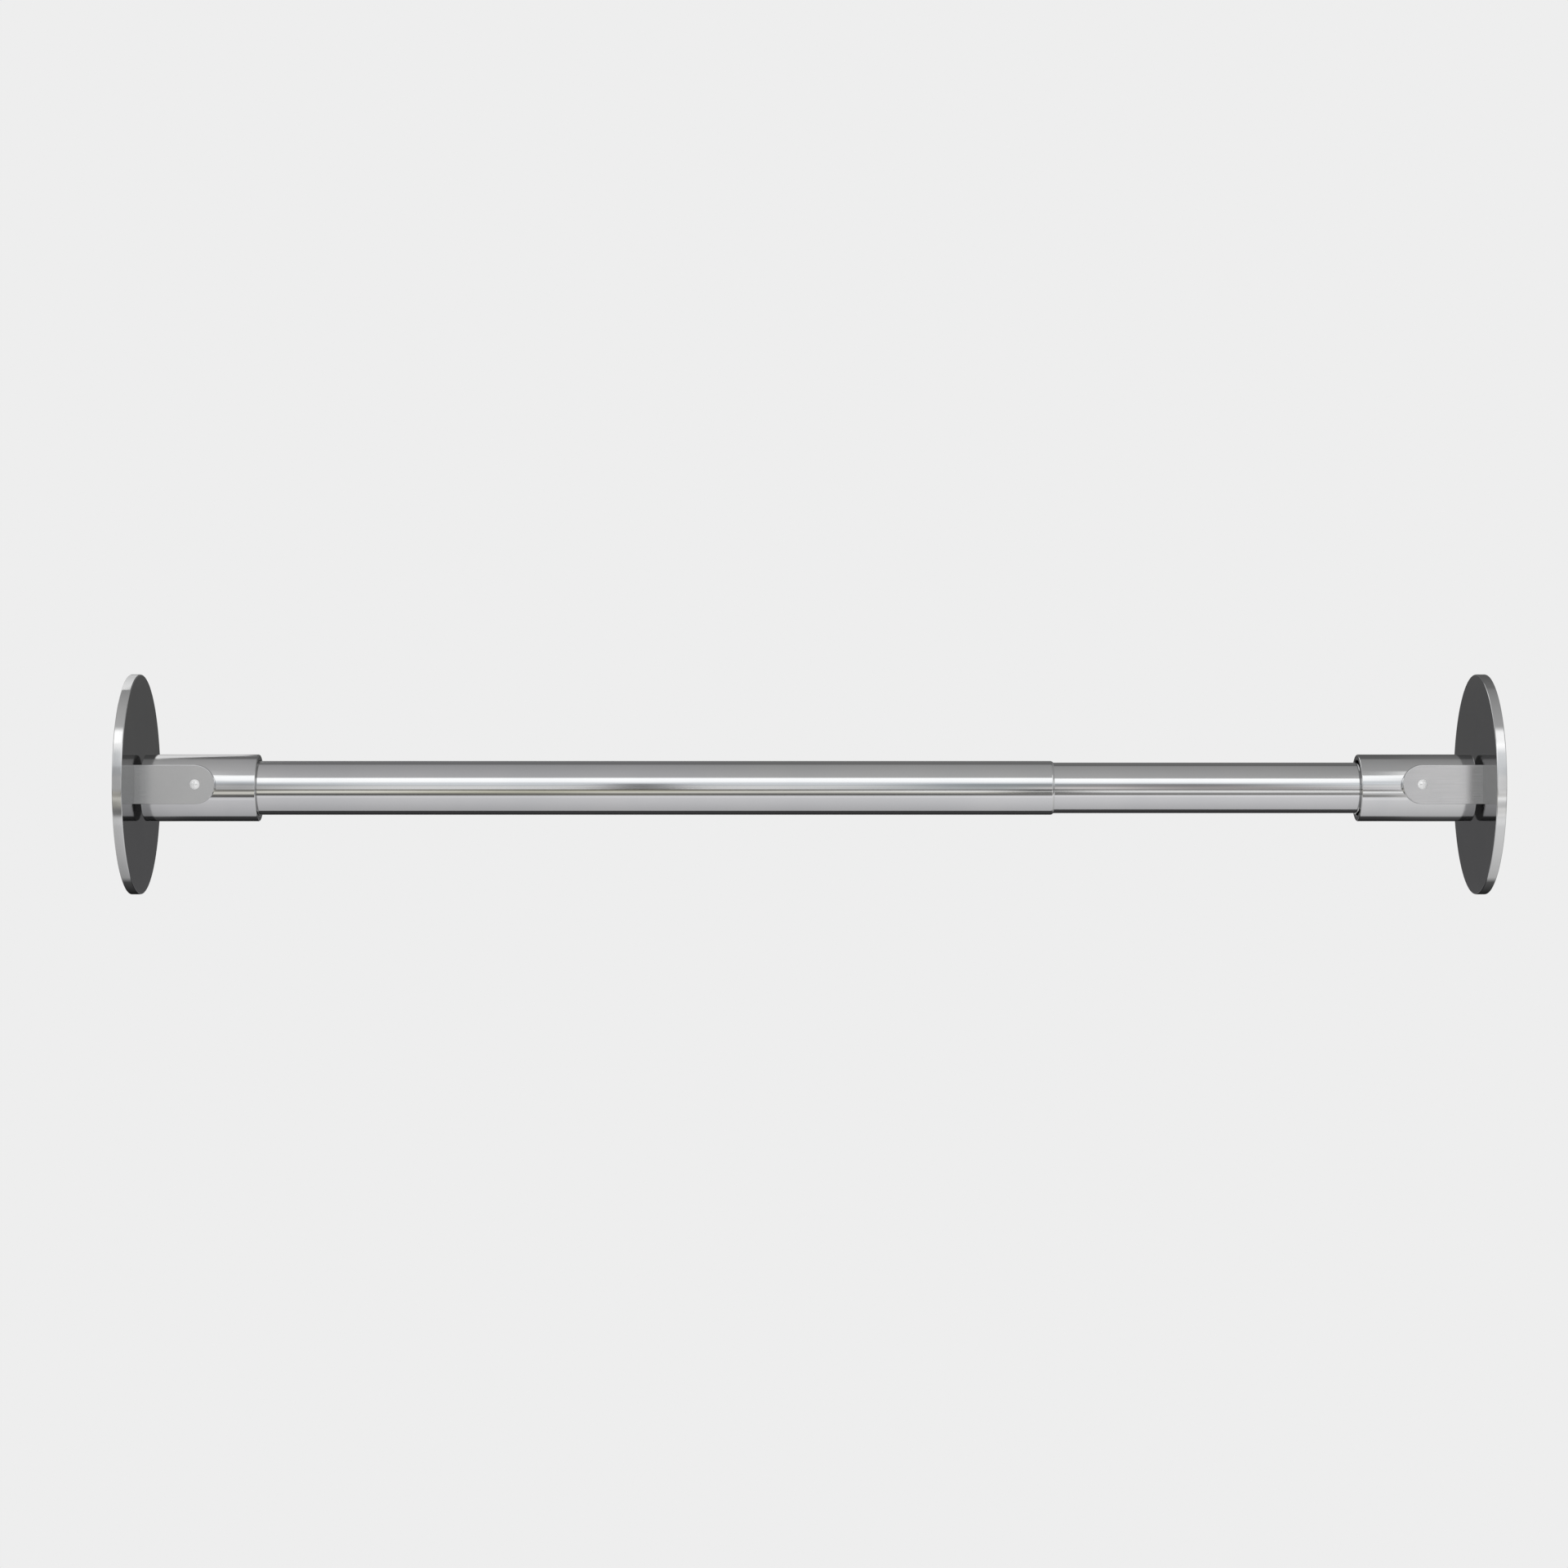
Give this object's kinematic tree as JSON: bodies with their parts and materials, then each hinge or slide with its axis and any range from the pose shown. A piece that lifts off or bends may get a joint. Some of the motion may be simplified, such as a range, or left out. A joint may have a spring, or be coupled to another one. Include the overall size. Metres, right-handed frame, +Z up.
{
  "type": "extendable shower curtain rod",
  "caption": "Telescoping chrome curtain rod for a shower, clamped between two walls by round swivelling flanges, with a twist lock and a tension spring inside.",
  "frame": {"origin": "centre of the left wall pad's outer face, level with the flange pivots", "axes": "+X along the rod from the left wall to the right wall, +Z up, -Y towards the viewer"},
  "size_m": [0.6283, 0.102, 0.102],
  "materials": {
    "tube_chrome": "polished chrome plate",
    "socket_chrome": "polished chrome plate",
    "ear_chrome": "chrome plate on flat strap",
    "flange_chrome": "chrome plate, turned rim",
    "screw_steel": "bright zinc plate",
    "spring_steel": "oiled spring wire",
    "pad_rubber": "matt moulded rubber",
    "nylon": "natural nylon",
    "cam_plastic": "black grip plastic"
  },
  "bodies": {
    "left_flange": {"left_wall_pad": "pad_rubber", "left_flange_disc": "flange_chrome", "left_front_ear": "ear_chrome", "left_rear_ear": "ear_chrome"},
    "left_socket": {"left_socket": "socket_chrome", "left_front_pivot_screw": "screw_steel", "left_rear_pivot_screw": "screw_steel", "left_front_pivot_washer": "nylon", "left_rear_pivot_washer": "nylon"},
    "outer_rod": {"outer_tube": "tube_chrome", "left_thrust_plug": "nylon"},
    "lock": {"lock_plunger": "nylon", "cam_washer": "screw_steel", "cam_screw": "screw_steel"},
    "cam": {"lock_cam": "cam_plastic"},
    "inner_rod": {"inner_tube": "tube_chrome", "retaining_bush": "nylon", "tension_spring": "spring_steel", "spring_stop": "nylon", "right_seat_cup": "nylon", "right_socket": "socket_chrome", "right_front_pivot_screw": "screw_steel", "right_rear_pivot_screw": "screw_steel", "right_front_pivot_washer": "nylon", "right_rear_pivot_washer": "nylon"},
    "right_flange": {"right_wall_pad": "pad_rubber", "right_flange_disc": "flange_chrome", "right_front_ear": "ear_chrome", "right_rear_ear": "ear_chrome"}
  },
  "joints": [
    {"name": "left_swivel", "type": "hinge", "parent": "left_flange", "child": "left_socket", "pos_m": [0.0326, 0, 0], "axis": [0, 1, 0], "range_deg": [-5, 5]},
    {"name": "tube_twist", "type": "hinge", "parent": "left_socket", "child": "outer_rod", "pos_m": [0.2337, 0, -0.0016], "axis": [1, 0, 0], "range_deg": [-25, 25]},
    {"name": "length_slide", "type": "slide", "parent": "left_socket", "child": "lock", "axis": [1, 0, 0], "range_m": [-0.128, 0.145]},
    {"name": "cam_turn", "type": "hinge", "parent": "lock", "child": "cam", "pos_m": [0.208, 0, -0.0008], "axis": [1, 0, 0], "range_deg": [-25, 25]},
    {"name": "spring_travel", "type": "slide", "parent": "lock", "child": "inner_rod", "axis": [1, 0, 0], "range_m": [-0.01, 0], "stiffness_N_per_m": 4000, "springref_m": 0.01, "deforming": ["tension_spring"]},
    {"name": "right_swivel", "type": "hinge", "parent": "inner_rod", "child": "right_flange", "pos_m": [0.5957, 0, 0], "axis": [0, 1, 0], "range_deg": [-5, 5]}
  ],
  "couplings": [
    {"joint": "cam_turn", "follows": "tube_twist", "ratio": 1}
  ]
}
